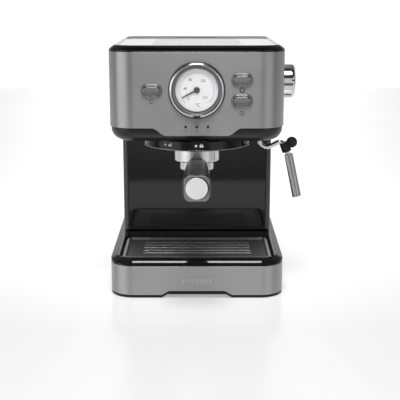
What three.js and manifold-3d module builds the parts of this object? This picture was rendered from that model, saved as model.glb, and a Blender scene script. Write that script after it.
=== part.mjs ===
// Pump espresso machine with a bayonet portafilter, steam wand, dial thermometer, lift-out drip tray and
// rear water tank. Millimetres, +Z up. In the working frame below X = 0 is the mirror plane of the
// body, Y = 0 its front face (the user stands at -Y) and Z = 0 the table. The finished group is moved
// so that its origin is the centre of its footprint.
import * as THREE from 'three';
import { mergeVertices } from 'three/addons/utils/BufferGeometryUtils.js';
import Module from 'manifold-3d';

const wasm = await Module();
wasm.setup();

// ---------------------------------------------------------------- driving dimensions
const GAP = 0.3; // air between neighbouring pieces
const CORNER_STEPS = 4; // facets in each quarter turn
const MIN_RADIUS = 0.4;

// Plans of the housings: half width, front and back face, corner radii.
const HEAD = { halfWidth: 106.5, front: 0, back: 206, frontRadius: 28, backRadius: 10 };
const BASE = { halfWidth: 108.5, front: 0, back: 262, frontRadius: 30, backRadius: 18 };
const COLUMN = { halfWidth: 101, front: 143.5, back: 206, frontRadius: 7, backRadius: 8 };
const TANK = { halfWidth: 103, front: 207, back: 262, frontRadius: 6, backRadius: 18 };
const WARMER = { halfWidth: 95, front: 13, back: 193, frontRadius: 18, backRadius: 8 };
const WELL = { halfWidth: 95, front: 11.5, back: 113, frontRadius: 8, backRadius: 8 };

// Levels above the table.
const BASE_BAND_BOTTOM = 3.5;
const BASE_RIM_BOTTOM = 42.7;
const BASE_TOP = 51;
const HEAD_BOTTOM = 195.6;
const HEAD_BAND_BOTTOM = 213.1;
const HEAD_LIP_BOTTOM = 204;
const HEAD_RIM_BOTTOM = 304;
const HEAD_TOP = 311;
const TANK_TOP = 296;

const STEEL_SHEET = 1.2; // wrap-round steel bands
const SHELL_WALL = 2.5;
const GROUP_Y = 74; // axis of boiler, group and portafilter
const GAUGE_Z = 258.8;
const KNOB = { y: 70, z: 263.3, radius: 21, near: 107.1, far: 122.6 };
const WAND = { x: 79, y: 70 };
const LAMP = { z: 214.9, pitch: 13.3, radius: 1.4 };
const FOOT = { x: 85, nearY: 32, farY: 234, radius: 10, height: 3.9 };
const HOSE_Y = 170; // pump and its suction hose
const VALVE_Y = 234; // outlet of the water tank
const LOCK_TWIST = 35; // degrees between inserting and locking the portafilter

const BUTTONS = [
  { name: 'single_cup', x: -54, z: 258 },
  { name: 'double_cup', x: 54, z: 271 },
  { name: 'steam', x: 54, z: 246 },
];

// ---------------------------------------------------------------- finishes
const FINISH = {
  steel: [0x9fa0a2, 0.34, 1.0],
  chrome: [0xd8dadd, 0.08, 1.0],
  castAlloy: [0xa9abae, 0.42, 0.9],
  brass: [0xb48a4a, 0.35, 1.0],
  gloss: [0x0c0d10, 0.08, 0.0],
  satin: [0x1b1c20, 0.45, 0.0],
  housing: [0x3a3b40, 0.38, 0.0],
  silver: [0xc8cacd, 0.28, 0.75],
  rubber: [0x17171a, 0.8, 0.0],
  dial: [0xf2f2f0, 0.5, 0.0],
  lens: [0xdfe6ea, 0.04, 0.0],
  lamp: [0x23262e, 0.2, 0.0],
  board: [0x1f5a38, 0.55, 0.0],
  smoke: [0x3c4148, 0.12, 0.0],
  hose: [0xe6e4de, 0.4, 0.0],
};

// ---------------------------------------------------------------- geometry helpers
const degrees = THREE.MathUtils.degToRad;

function arc(x, y, radius, from, to, z, steps = CORNER_STEPS) {
  return Array.from({ length: steps + 1 }, (_, i) => {
    const angle = degrees(from + ((to - from) * i) / steps);
    return new THREE.Vector3(x + radius * Math.cos(angle), y + radius * Math.sin(angle), z);
  });
}

// A rounded rectangle at height z, pulled in from the plan by the inset.
function outline({ halfWidth, front, back, frontRadius, backRadius }, inset, z) {
  const right = halfWidth - inset;
  const near = Math.max(frontRadius - inset, MIN_RADIUS);
  const far = Math.max(backRadius - inset, MIN_RADIUS);
  const low = front + inset + near;
  const high = back - inset - far;
  return [
    ...arc(right - near, low, near, -90, 0, z),
    ...arc(right - far, high, far, 0, 90, z),
    ...arc(far - right, high, far, 90, 180, z),
    ...arc(near - right, low, near, 180, 270, z),
  ];
}

function circle(radius, z, segments) {
  return arc(0, 0, radius, 0, 360, z, segments).slice(0, segments);
}

function plate(halfWidth, halfDepth, radius, centre = 0) {
  return {
    halfWidth,
    front: centre - halfDepth,
    back: centre + halfDepth,
    frontRadius: radius,
    backRadius: radius,
  };
}

// Joins a stack of outlines into one closed body. An open stack gets a cap at each end; a closed one
// runs back to its first outline and so leaves a hole through the middle.
function skin(rings, closed = false) {
  const count = rings[0].length;
  const faces = [];
  const last = closed ? rings.length : rings.length - 1;
  for (let i = 0; i < last; i += 1) {
    const lower = i * count;
    const upper = ((i + 1) % rings.length) * count;
    for (let j = 0; j < count; j += 1) {
      const next = (j + 1) % count;
      faces.push(lower + j, lower + next, upper + next, lower + j, upper + next, upper + j);
    }
  }
  if (!closed) {
    const top = (rings.length - 1) * count;
    for (let j = 1; j < count - 1; j += 1) {
      faces.push(0, j + 1, j, top, top + j, top + j + 1);
    }
  }
  const geometry = new THREE.BufferGeometry().setFromPoints(rings.flat());
  geometry.setIndex(faces);
  return geometry;
}

// Stack of insets of one plan: each step is [inset, z].
function layered(plan, steps, closed = false) {
  return skin(steps.map(([inset, z]) => outline(plan, inset, z)), closed);
}

// A turned piece: each step is [radius, z].
function turned(steps, { closed = false, segments = 24 } = {}) {
  return skin(steps.map(([radius, z]) => circle(radius, z, segments)), closed);
}

// A quarter round as [inset, z] steps, from the side wall up to the crown.
function roundOver(inset, z, width, height, steps) {
  return Array.from({ length: steps }, (_, i) => {
    const angle = degrees((90 * (i + 1)) / steps);
    return [inset + width * (1 - Math.cos(angle)), z + height * Math.sin(angle)];
  });
}

function box(x0, x1, y0, y1, z0, z1) {
  const geometry = new THREE.BoxGeometry(x1 - x0, y1 - y0, z1 - z0);
  return geometry.translate((x0 + x1) / 2, (y0 + y1) / 2, (z0 + z1) / 2);
}

// A shape drawn in the front view (X right, Z up), from y = near back to y = far.
function frontPrism(shape, near, far) {
  const geometry = new THREE.ExtrudeGeometry(shape, { depth: far - near, bevelEnabled: false });
  return geometry.rotateX(Math.PI / 2).translate(0, far, 0);
}

function rod(radius, low, high, segments = 20) {
  return turned([[radius, low], [radius, high]], { segments });
}

// A ring sector lying flat, for bayonet lugs and the gaps that let them in.
function sector(inner, outer, from, to, low, high) {
  const shape = new THREE.Shape();
  shape.absarc(0, 0, outer, degrees(from), degrees(to), false);
  shape.absarc(0, 0, inner, degrees(to), degrees(from), true);
  const options = { depth: high - low, bevelEnabled: false, curveSegments: 5 };
  return new THREE.ExtrudeGeometry(shape, options).translate(0, 0, low);
}

function tube(curve, radius, steps, segments = 10) {
  const shape = new THREE.Shape();
  shape.absarc(0, 0, radius, 0, 2 * Math.PI);
  const options = { steps, curveSegments: segments, bevelEnabled: false, extrudePath: curve };
  return new THREE.ExtrudeGeometry(shape, options);
}

// Turns a piece drawn with its outer face up (+Z) so that this face looks at the user (-Y).
function faceFront(geometry) {
  return geometry.rotateX(Math.PI / 2);
}

function faceRight(geometry) {
  return geometry.rotateY(Math.PI / 2);
}

// ---------------------------------------------------------------- booleans
function welded(geometry) {
  const copy = geometry.clone();
  copy.deleteAttribute('normal');
  copy.deleteAttribute('uv');
  return mergeVertices(copy, 1e-4);
}

function toManifold(geometry) {
  const source = welded(geometry);
  const mesh = new wasm.Mesh({
    numProp: 3,
    vertProperties: new Float32Array(source.attributes.position.array),
    triVerts: new Uint32Array(source.index.array),
  });
  const solid = new wasm.Manifold(mesh);
  if (solid.volume() > 0) {
    return solid;
  }
  mesh.triVerts.reverse();
  return new wasm.Manifold(mesh);
}

function fromManifold(solid) {
  const mesh = solid.getMesh();
  const geometry = new THREE.BufferGeometry();
  geometry.setAttribute('position', new THREE.BufferAttribute(new Float32Array(mesh.vertProperties), 3));
  geometry.setIndex(new THREE.BufferAttribute(new Uint32Array(mesh.triVerts), 1));
  return geometry;
}

function cut(geometry, ...tools) {
  const result = tools.reduce((solid, tool) => solid.subtract(toManifold(tool)), toManifold(geometry));
  return fromManifold(result);
}

function join(...pieces) {
  const [first, ...others] = pieces.map(toManifold);
  return fromManifold(others.reduce((solid, other) => solid.add(other), first));
}

// ---------------------------------------------------------------- scene helpers
function piece(name, geometry, finish, x = 0, y = 0, z = 0) {
  const flat = geometry.index ? geometry.toNonIndexed() : geometry;
  flat.computeVertexNormals();
  const [color, roughness, metalness] = FINISH[finish];
  const mesh = new THREE.Mesh(flat, new THREE.MeshStandardMaterial({ color, roughness, metalness }));
  mesh.name = name;
  mesh.position.set(x, y, z);
  return mesh;
}

function assembly(...children) {
  const group = new THREE.Group();
  group.add(...children);
  return group;
}

// ---------------------------------------------------------------- base
function makeFeet() {
  const places = [
    ['foot_front_left', -FOOT.x, FOOT.nearY],
    ['foot_front_right', FOOT.x, FOOT.nearY],
    ['foot_rear_left', -FOOT.x, FOOT.farY],
    ['foot_rear_right', FOOT.x, FOOT.farY],
  ];
  const { radius, height } = FOOT;
  const steps = [[radius - 1, 0], [radius, 1], [radius, height], [3, height], [3, height + 2.6]];
  return places.map(([name, x, y]) => piece(name, turned(steps, { segments: 16 }), 'rubber', x, y));
}

// The shallow notch with slanting ends in the middle of the base's lower front edge.
function frontNotch(low, high) {
  const notch = new THREE.Shape();
  notch.moveTo(-44.5, low - 0.5);
  notch.lineTo(44.5, low - 0.5);
  notch.lineTo(34.5, high);
  notch.lineTo(-34.5, high);
  return frontPrism(notch, -5, 5);
}

function makeBaseTub() {
  const floor = 8;
  const skirt = [[3.5, 4.2], [3.5, 0.8], [0.5, 0.8], [0.5, 3.2], [1.5, 3.2]];
  const steps = [...skirt, [1.5, 42.4], [4.5, 42.4], [4.5, floor]];
  const sockets = [FOOT.nearY, FOOT.farY].flatMap((y) =>
    [-FOOT.x, FOOT.x].map((x) => rod(3 + GAP, 3, FOOT.height + 3, 20).translate(x, y, 0)),
  );
  const glandHole = rod(6 + GAP, -8, 8, 20).rotateX(Math.PI / 2).translate(-70, BASE.back, 25);
  const notch = frontNotch(0, 4.2);
  return piece('base_tub', cut(layered(BASE, steps), ...sockets, glandHole, notch), 'satin');
}

function makeCordGland() {
  const steps = [[3.4, 0], [6, 0], [6, 5], [8.5, 5], [8.5, 7], [7, 8.2], [3.4, 8.2]];
  const bush = turned(steps, { closed: true, segments: 20 }).rotateX(-Math.PI / 2);
  return piece('cord_gland', bush, 'rubber', -70, BASE.back - 6, 25);
}

function makeBaseBand() {
  const low = BASE_BAND_BOTTOM;
  const high = BASE_RIM_BOTTOM - GAP;
  const sheet = [[0, low], [0, high], [STEEL_SHEET, high], [STEEL_SHEET, low]];
  const rear = box(-120, 120, BASE.back - BASE.backRadius, BASE.back + 5, 0, 60);
  return piece('base_steel_band', cut(layered(BASE, sheet, true), frontNotch(low, low + 5.2), rear), 'steel');
}

function makeBaseRim() {
  const crown = roundOver(0, BASE_TOP - 7, 8, 7, 4);
  const outer = [[0, BASE_RIM_BOTTOM], ...crown].map(([inset, z]) => outline(BASE, inset, z));
  const inner = [[-3, BASE_TOP], [0, BASE_TOP - 1.4], [0, BASE_RIM_BOTTOM]];
  const frame = skin([...outer, ...inner.map(([inset, z]) => outline(WELL, inset, z))], true);
  const underside = layered(plate(97, 68, 12, 186), [[0, 40], [0, BASE_TOP - 2.8]]);
  const valveHole = rod(6.4, 40, 60).translate(0, VALVE_Y, 0);
  const hoseHole = rod(6, 40, 60).translate(0, HOSE_Y, 0);
  return piece('base_rim', cut(frame, underside, valveHole, hoseHole), 'gloss');
}

// ---------------------------------------------------------------- drip tray
const GRATE = plate(94.2, 49.95, 7.5, 62.25);
const TRAY = plate(93.5, 49.25, 7, 62.25);
const SLOT = { rows: 5, first: 37, pitch: 12.6, halfLength: 69.5, halfWidth: 1.7 };

function makeDripTray() {
  const steps = [[3, 8.5], [0, 14], [0, 44.6], [2, 44.6], [2, 14], [5, 10.7]];
  return piece('drip_tray', layered(TRAY, steps), 'satin');
}

function makeDripGrate() {
  const under = [[3, 46.2], [3, 44.9], [0, 44.9]];
  const top = [[0, 48.9], [0.8, 49.6], [2.4, 49.6], [6.5, 47.7]];
  const slots = Array.from({ length: SLOT.rows }, (_, i) => {
    const slot = plate(SLOT.halfLength, SLOT.halfWidth, SLOT.halfWidth, SLOT.first + i * SLOT.pitch);
    return layered(slot, [[0, 44], [0, 52]]);
  });
  return piece('drip_grate', cut(layered(GRATE, [...under, ...top]), ...slots), 'steel');
}

// ---------------------------------------------------------------- column
const COLUMN_BOTTOM = BASE_TOP + GAP;
const COLUMN_TOP = HEAD_BOTTOM - GAP;
const SPLASH = {
  halfWidth: 94,
  front: COLUMN.front + GAP,
  back: COLUMN.front + 3.3,
  frontRadius: 0.8,
  backRadius: 0.5,
};

function makeColumnShell() {
  const sheet = [
    [0, COLUMN_BOTTOM],
    [0, COLUMN_TOP],
    [SHELL_WALL, COLUMN_TOP],
    [SHELL_WALL, COLUMN_BOTTOM],
  ];
  const half = SPLASH.halfWidth + GAP;
  const frontWindow = box(-half, half, COLUMN.front - 5, COLUMN.front + 10, 40, 210);
  return piece('column_shell', cut(layered(COLUMN, sheet, true), frontWindow), 'satin');
}

function makeSplashPanel() {
  return piece('splash_panel', layered(SPLASH, [[0, COLUMN_BOTTOM], [0, COLUMN_TOP]]), 'gloss');
}

// ---------------------------------------------------------------- head
const BUTTON = plate(10.4, 5.4, 5.4);
const BUTTON_BEZEL = plate(13.05, 8.05, 8.05);

// The lower edge of the head's band in the front view: straight, with a lip in the middle.
function lipCutter() {
  const shape = new THREE.Shape();
  shape.moveTo(-120, HEAD_LIP_BOTTOM - 10);
  shape.lineTo(120, HEAD_LIP_BOTTOM - 10);
  shape.lineTo(120, HEAD_BAND_BOTTOM);
  shape.lineTo(54, HEAD_BAND_BOTTOM);
  shape.bezierCurveTo(47, HEAD_BAND_BOTTOM, 45, HEAD_LIP_BOTTOM, 37, HEAD_LIP_BOTTOM);
  shape.lineTo(-37, HEAD_LIP_BOTTOM);
  shape.bezierCurveTo(-45, HEAD_LIP_BOTTOM, -47, HEAD_BAND_BOTTOM, -54, HEAD_BAND_BOTTOM);
  shape.lineTo(-120, HEAD_BAND_BOTTOM);
  return frontPrism(shape, -5, HEAD.frontRadius + 1);
}

function lampHoles() {
  return [-1, 0, 1].map((i) => {
    const hole = rod(LAMP.radius + GAP, -8, 4, 12);
    return faceFront(hole).translate(i * LAMP.pitch, 0, LAMP.z);
  });
}

function makeHeadBand() {
  const low = HEAD_LIP_BOTTOM;
  const high = HEAD_RIM_BOTTOM - GAP;
  const sheet = [[0, low], [0, high], [STEEL_SHEET, high], [STEEL_SHEET, low]];
  const behindLip = box(-120, 120, HEAD.frontRadius, HEAD.back + 5, low - 10, HEAD_BAND_BOTTOM);
  const buttonHoles = BUTTONS.map(({ x, z }) =>
    faceFront(layered(BUTTON_BEZEL, [[0.9, -4], [0.9, 4]])).translate(x, 0, z),
  );
  const gaugeHole = faceFront(rod(28.5, -4, 4, 32)).translate(0, 0, GAUGE_Z);
  const knobHole = faceRight(rod(6, 100, 115, 20)).translate(0, KNOB.y, KNOB.z);
  const holes = [...buttonHoles, ...lampHoles(), gaugeHole, knobHole];
  const band = cut(layered(HEAD, sheet, true), lipCutter(), behindLip, ...holes);
  return piece('head_steel_band', band, 'steel');
}

function makeHeadTopRim() {
  const crown = roundOver(0, HEAD_TOP - 6, 6, 6, 4);
  const outer = [[0, HEAD_RIM_BOTTOM], [0, HEAD_TOP - 6], ...crown];
  const ledge = HEAD_TOP - 5;
  const inner = [[-1.5, HEAD_TOP], [0, HEAD_TOP - 1], [0, ledge], [3, ledge], [3, HEAD_RIM_BOTTOM]];
  const rings = [
    ...outer.map(([inset, z]) => outline(HEAD, inset, z)),
    ...inner.map(([inset, z]) => outline(WARMER, inset, z)),
  ];
  return piece('head_top_rim', skin(rings, true), 'gloss');
}

function makeCupWarmer() {
  const low = HEAD_TOP - 5 + GAP;
  const top = [[GAP, low + 2.6], [1.4, low + 3.4], [3, low + 3.4], [6, low + 1.6]];
  const steps = [[4, low + 0.3], [4, low], [GAP, low], ...top];
  const slots = Array.from({ length: 6 }, (_, i) =>
    layered(plate(56, 2.4, 2.4, 43 + i * 24), [[0, low - 3], [0, low + 6]]),
  );
  return piece('cup_warmer_plate', cut(layered(WARMER, steps), ...slots), 'steel');
}

function makeHeadLowerCover() {
  const side = STEEL_SHEET + GAP;
  const round = Array.from({ length: 6 }, (_, i) => {
    const angle = degrees(18 * i);
    return [side + 16.5 * (1 - Math.sin(angle)), HEAD_BOTTOM + 15 * (1 - Math.cos(angle))];
  });
  const wall = [[side, 226], [side + SHELL_WALL, 226], [side + SHELL_WALL, HEAD_BOTTOM + 16]];
  const pan = layered(HEAD, [...round, ...wall, [side + 18, HEAD_BOTTOM + 3]]);
  const groupHole = rod(40.9, 180, 220, 32).translate(0, GROUP_Y, 0);
  const wandHole = rod(3.8, 180, 220, 16).translate(WAND.x, WAND.y, 0);
  const ductHole = box(-55, 55, 148, 194, 180, 206);
  return piece('head_lower_cover', cut(pan, groupHole, wandHole, ductHole, ...lampHoles()), 'housing');
}

function makeGroupDisc() {
  const disc = [
    [40.9, 185],
    [63.9, 185],
    [63.9, 187.4],
    [67.2, 187.4],
    [66.6, 195.3],
    [64.4, 195.3],
    [64.4, 189.4],
    [61.5, 187.2],
    [40.9, 187.2],
  ];
  const ring = [
    [64.3, 184.2],
    [65.4, 183.4],
    [66.8, 183.4],
    [68, 184.6],
    [68, 186.3],
    [67.2, 187],
    [64.3, 187],
  ];
  const options = { closed: true, segments: 40 };
  return assembly(
    piece('group_disc', turned(disc, options), 'housing', 0, GROUP_Y),
    piece('group_trim_ring', turned(ring, options), 'chrome', 0, GROUP_Y),
  );
}

// ---------------------------------------------------------------- thermometer
function makeNeedle() {
  const length = 19.8;
  const blade = new THREE.Shape();
  blade.moveTo(-6, -1.1);
  blade.lineTo(0, -1.2);
  blade.lineTo(length, -0.4);
  blade.lineTo(length, 0.4);
  blade.lineTo(0, 1.2);
  blade.lineTo(-6, 1.1);
  const flat = new THREE.ExtrudeGeometry(blade, { depth: 0.6, bevelEnabled: false });
  const hub = turned([[0.8, -6], [0.8, -1], [3.4, -1], [3.4, 0.3], [2.8, 0.5]], { segments: 20 });
  return join(flat.rotateZ(degrees(207)).translate(0, 0, -0.6), hub);
}

function makeGauge() {
  const bezel = [
    [28, -6],
    [28, GAP],
    [34, GAP],
    [34, 4.2],
    [33.2, 5.6],
    [31.6, 6.2],
    [30.4, 5.8],
    [26.7, 2.2],
    [26, 1.9],
    [26, -6],
  ];
  const dial = [[1.1, -2.4], [25.7, -2.4], [25.7, -1.4], [1.1, -1.4]];
  const can = [[25.7, -24], [25.7, -2.8], [24.4, -2.8], [24.4, -22.5]];
  const glass = [[25.7, 0.8], [25.7, 1.5], [25.2, 1.8]];
  const group = assembly(
    piece('gauge_bezel', faceFront(turned(bezel, { closed: true, segments: 36 })), 'chrome'),
    piece('gauge_dial', faceFront(turned(dial, { closed: true, segments: 32 })), 'dial'),
    piece('gauge_housing', faceFront(turned(can)), 'satin'),
    piece('gauge_needle', faceFront(makeNeedle()), 'satin'),
    piece('gauge_glass', faceFront(turned(glass, { segments: 32 })), 'lens'),
  );
  group.position.z = GAUGE_Z;
  return group;
}

// ---------------------------------------------------------------- buttons and lamps
function makeButtons() {
  const key = [[0, -8], [0, 2.6], [0.4, 3.1], [1.3, 3.3]];
  const bezel = [[1.2, -4], [1.2, GAP], [0, GAP], [0, 1.5], [0.9, 2.3], [2, 2.3], [2.35, 1.9], [2.35, -4]];
  return BUTTONS.flatMap(({ name, x, z }) => [
    piece(`button_${name}`, faceFront(layered(BUTTON, key)), 'silver', x, 0, z),
    piece(`button_bezel_${name}`, faceFront(layered(BUTTON_BEZEL, bezel, true)), 'chrome', x, 0, z),
  ]);
}

function makeLamps() {
  const lens = [[LAMP.radius, -6], [LAMP.radius, 0.2], [LAMP.radius - 0.5, 0.6]];
  return ['left', 'middle', 'right'].map((side, i) => {
    const body = faceFront(turned(lens, { segments: 12 }));
    return piece(`lamp_${side}`, body, 'lamp', (i - 1) * LAMP.pitch, 0, LAMP.z);
  });
}

function makeControlBoard() {
  const board = box(-74, 74, 12, 13.6, 228, 290);
  const gaugeHole = faceFront(rod(27, -30, 0)).translate(0, 0, GAUGE_Z);
  const switches = BUTTONS.map(({ x, z }) => box(x - 3, x + 3, 10.6, 12.5, z - 3, z + 3));
  return piece('control_board', join(cut(board, gaugeHole), ...switches), 'board');
}

// ---------------------------------------------------------------- brew group and boiler
function makeGroupCollar() {
  const steps = [
    [29.6, 183.5],
    [40, 183.5],
    [40, 210],
    [2.4, 210],
    [2.4, 203],
    [31.3, 203],
    [31.3, 192],
    [35, 192],
    [35, 186.5],
    [29.6, 186.5],
  ];
  const half = 17;
  const entries = [-LOCK_TWIST, 180 - LOCK_TWIST].map((middle) =>
    sector(28, 35, middle - half, middle + half, 183, 187),
  );
  const collar = cut(turned(steps, { closed: true, segments: 32 }), ...entries);
  return piece('group_collar', collar, 'castAlloy', 0, GROUP_Y);
}

function makeBrewSeals() {
  const gasket = [[26.2, 195.4], [31, 195.4], [31, 202.7], [26.2, 202.7]];
  const screen = [[2.4, 196.2], [25.8, 196.2], [25.8, 197.4], [2.4, 197.4]];
  const screw = [[3.4, 194.3], [4, 194.8], [4, 195.9], [2, 195.9], [2, 206]];
  return [
    piece('group_gasket', turned(gasket, { closed: true }), 'rubber', 0, GROUP_Y),
    piece('shower_screen', turned(screen, { closed: true }), 'steel', 0, GROUP_Y),
    piece('shower_screw', turned(screw, { segments: 16 }), 'steel', 0, GROUP_Y),
  ];
}

function makeBoiler() {
  const shell = [[36, 210.3], [36, 235], [42, 235], [42, 241], [34, 241], [34, 252], [28, 256]];
  const thermostat = [[8, 0], [8, 4], [5, 4], [5, 7]];
  const small = { segments: 16 };
  return [
    piece('boiler', turned(shell), 'castAlloy', 0, GROUP_Y),
    piece('brew_thermostat', turned(thermostat, small), 'satin', -17, GROUP_Y + 8, 256 + GAP),
    piece('steam_thermostat', turned(thermostat, small), 'satin', -4, GROUP_Y - 17, 256 + GAP),
  ];
}

function makePump() {
  const coil = layered(plate(19, 19, 3, HOSE_Y), [[0, 78], [0, 130]]);
  const neck = rod(8.8, 129, 152).translate(0, HOSE_Y, 0);
  const inlet = turned([[3.5, 66], [6, 70], [6, 79]]).translate(0, HOSE_Y, 0);
  const mountingPlate = layered(plate(34, 26, 3, 177), [[0, 138], [0, 140]]);
  return piece('pump', join(coil, neck, inlet, mountingPlate), 'satin');
}

// ---------------------------------------------------------------- plumbing
function route(...points) {
  const corners = points.map((point) => new THREE.Vector3(...point));
  return new THREE.CatmullRomCurve3(corners, false, 'centripetal');
}

function makePlumbing() {
  const pressure = route(
    [0, HOSE_Y, 152.3],
    [0, HOSE_Y, 205],
    [0, 160, 250],
    [0, 120, 272],
    [8, 92, 276],
    [12, 84, 268],
    [12, 84, 256.5],
  );
  const suction = route(
    [0, VALVE_Y, 43.6],
    [0, VALVE_Y, 36],
    [0, 222, 24],
    [0, 186, 24],
    [0, 172, 32],
    [0, HOSE_Y, 65.7],
  );
  const feed = route(
    [22, 68, 256.5],
    [22, 68, 268],
    [34, 69, 274],
    [50, KNOB.y, 264],
    [61.5, KNOB.y, KNOB.z],
  );
  const steam = route(
    [74, KNOB.y, KNOB.z - 10.3],
    [74, KNOB.y, 240],
    [WAND.x, WAND.y, 222],
    [WAND.x, WAND.y, 201],
  );
  return [
    piece('pressure_hose', tube(pressure, 3, 16, 4), 'hose'),
    piece('suction_hose', tube(suction, 3.5, 16, 4), 'hose'),
    piece('steam_feed_pipe', tube(feed, 2.4, 12, 4), 'brass'),
    piece('steam_outlet_pipe', tube(steam, 2.4, 10, 4), 'brass'),
  ];
}

// ---------------------------------------------------------------- steam side
function makeSteamKnob() {
  const { radius, near, far } = KNOB;
  const steps = [
    [radius - 1.2, near],
    [radius, near + 1.2],
    [radius, far - 4.6],
    [radius - 0.7, far - 2.2],
    [radius - 2.4, far - 0.6],
    [radius - 4.6, far],
  ];
  const body = turned(steps, { segments: 48 });
  const pointer = box(-3.8, -1.4, -radius - 2, 1 - radius, far - 5, far + 1);
  const bore = rod(3.4, near - 3, near + 11, 16);
  const shaft = [[3, 80.6], [3, near + 10.6]];
  const valve = [[6, 62], [10, 64], [10, 82], [6, 82], [6, 87], [3.4, 87], [3.4, 80.3]];
  return [
    piece('steam_knob', faceRight(cut(body, bore, pointer)), 'silver', 0, KNOB.y, KNOB.z),
    piece('steam_spindle', faceRight(turned(shaft, { segments: 16 })), 'steel', 0, KNOB.y, KNOB.z),
    piece('steam_valve', faceRight(turned(valve, { segments: 24 })), 'brass', 0, KNOB.y, KNOB.z),
  ];
}

const WAND_PATH = route(
  [WAND.x, WAND.y, 200.6],
  [WAND.x, WAND.y, 190],
  [81.5, WAND.y, 183],
  [88, WAND.y, 179.3],
  [95.5, WAND.y, 181.2],
  [103.7, WAND.y, 185.3],
  [108.6, WAND.y, 184.8],
  [111.8, WAND.y, 181.8],
  [115.2, WAND.y, 173.8],
  [117.58, WAND.y, 168.5],
  [119.96, WAND.y, 157.34],
  [126.2, WAND.y, 128.06],
);

function stretch(curve, from, to, count) {
  const share = (i) => from + ((to - from) * i) / count;
  const points = Array.from({ length: count + 1 }, (_, i) => curve.getPointAt(share(i)));
  return new THREE.CatmullRomCurve3(points);
}

function makeSteamWand() {
  const grip = turned([[5.4, 0], [6, 0.6], [6, 11.7], [5.4, 12.3]], { segments: 20 });
  const gripDown = new THREE.Vector3(4.2, 0, -11.6).normalize();
  grip.applyQuaternion(new THREE.Quaternion().setFromUnitVectors(new THREE.Vector3(0, 0, 1), gripDown));
  grip.translate(111, WAND.y, 185.1);
  const thumbBall = new THREE.SphereGeometry(7, 14, 10).translate(121.1, WAND.y, 185.5);
  const bore = tube(stretch(WAND_PATH, 0.36, 0.62, 14), 3.3, 14, 4);
  const sleeve = [[4.7, 0], [5, 56.5], [2, 56.5], [2, 45.5], [3.3, 45.5], [3.3, 0]];
  const sleeveMesh = piece('froth_sleeve', turned(sleeve, { closed: true, segments: 16 }), 'steel');
  const down = new THREE.Vector3(11.1, 0, -52.1).normalize();
  sleeveMesh.position.set(117.2, WAND.y, 170.3);
  sleeveMesh.quaternion.setFromUnitVectors(new THREE.Vector3(0, 0, 1), down);
  const nut = cut(rod(8, 190.4, 195.2, 6), rod(3.4, 185, 200, 16));
  return [
    piece('wand_nut', nut, 'chrome', WAND.x, WAND.y),
    piece('wand_tube', tube(WAND_PATH, 2.95, 36, 4), 'chrome'),
    piece('wand_grip', cut(join(grip, thumbBall), bore), 'rubber'),
    sleeveMesh,
  ];
}

// ---------------------------------------------------------------- portafilter
function makePortafilterBody() {
  const cup = [
    [5, 150],
    [20.8, 150],
    [22.5, 151.6],
    [22.5, 161.4],
    [27.6, 162],
    [29, 163.8],
    [29, 194],
    [26.2, 194],
    [26.2, 166.8],
    [5, 166.8],
  ];
  const lugs = [0, 180].map((middle) => sector(28, 34.5, middle - 15, middle + 15, 186.8, 190.8));
  const arm = faceFront(rod(5.8, 15, 50, 16)).translate(0, 0, 160);
  const body = join(turned(cup, { closed: true, segments: 32 }), ...lugs, arm);
  return piece('portafilter_body', body, 'chrome', 0, GROUP_Y);
}

function makeBasket() {
  const cup = [
    [24.6, 168],
    [25.7, 169],
    [25.7, 194.3],
    [29.6, 194.3],
    [29.6, 194.9],
    [25.1, 194.9],
    [25.1, 168.7],
  ];
  return piece('filter_basket', turned(cup), 'steel', 0, GROUP_Y);
}

function makeSpout() {
  const block = layered(plate(16.5, 8, 7), [[1.5, 142.5], [0, 144.5], [0, 149.7]]);
  const outlet = () => turned([[4.4, 136], [5.6, 144.8]], { segments: 16 });
  const outlets = [-10, 10].map((x) => outlet().translate(x, 0, 0));
  const bores = [-10, 10].map((x) => rod(2.8, 130, 146, 12).translate(x, 0, 0));
  const channel = box(-11, 11, -2, 2, 145, 147);
  const inlet = rod(3, 146, 155, 12);
  return piece('twin_spout', cut(join(block, ...outlets), ...bores, channel, inlet), 'chrome', 0, GROUP_Y);
}

// Sections of the handle from the ring to its end: distance along -Y, half width, half height, middle.
const HANDLE_SECTIONS = [
  { y: 43.6, width: 9.4, height: 9.2, middle: 160.4, radius: 8.6 },
  { y: 20, width: 11.4, height: 11, middle: 159.8, radius: 9.6 },
  { y: -20, width: 13.4, height: 13.3, middle: 158.3, radius: 10 },
  { y: -60, width: 15.1, height: 15.4, middle: 156.6, radius: 9.4 },
  { y: -76.4, width: 15.5, height: 15.9, middle: 156, radius: 8.8 },
  { y: -79, width: 14.1, height: 14.5, middle: 156, radius: 7.6 },
];
const HANDLE_END = HANDLE_SECTIONS.at(-1);

function makeHandle() {
  const rings = HANDLE_SECTIONS.map(({ y, width, height, middle, radius }) =>
    outline(plate(width, height, radius, middle), 0, -y),
  );
  const bore = rod(6.1, -50, -23.6, 20).translate(0, 160, 0);
  const recess = rod(13.5, -HANDLE_END.y - 1.2, -HANDLE_END.y + 3, 32).translate(0, HANDLE_END.middle, 0);
  const cap = turned([[13.2, 0], [13.2, 1.1], [12.6, 1.5]]);
  return [
    piece('portafilter_handle', faceFront(cut(skin(rings), bore, recess)), 'satin'),
    piece('handle_cap', faceFront(cap), 'silver', 0, HANDLE_END.y + 0.9, HANDLE_END.middle),
  ];
}

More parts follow.
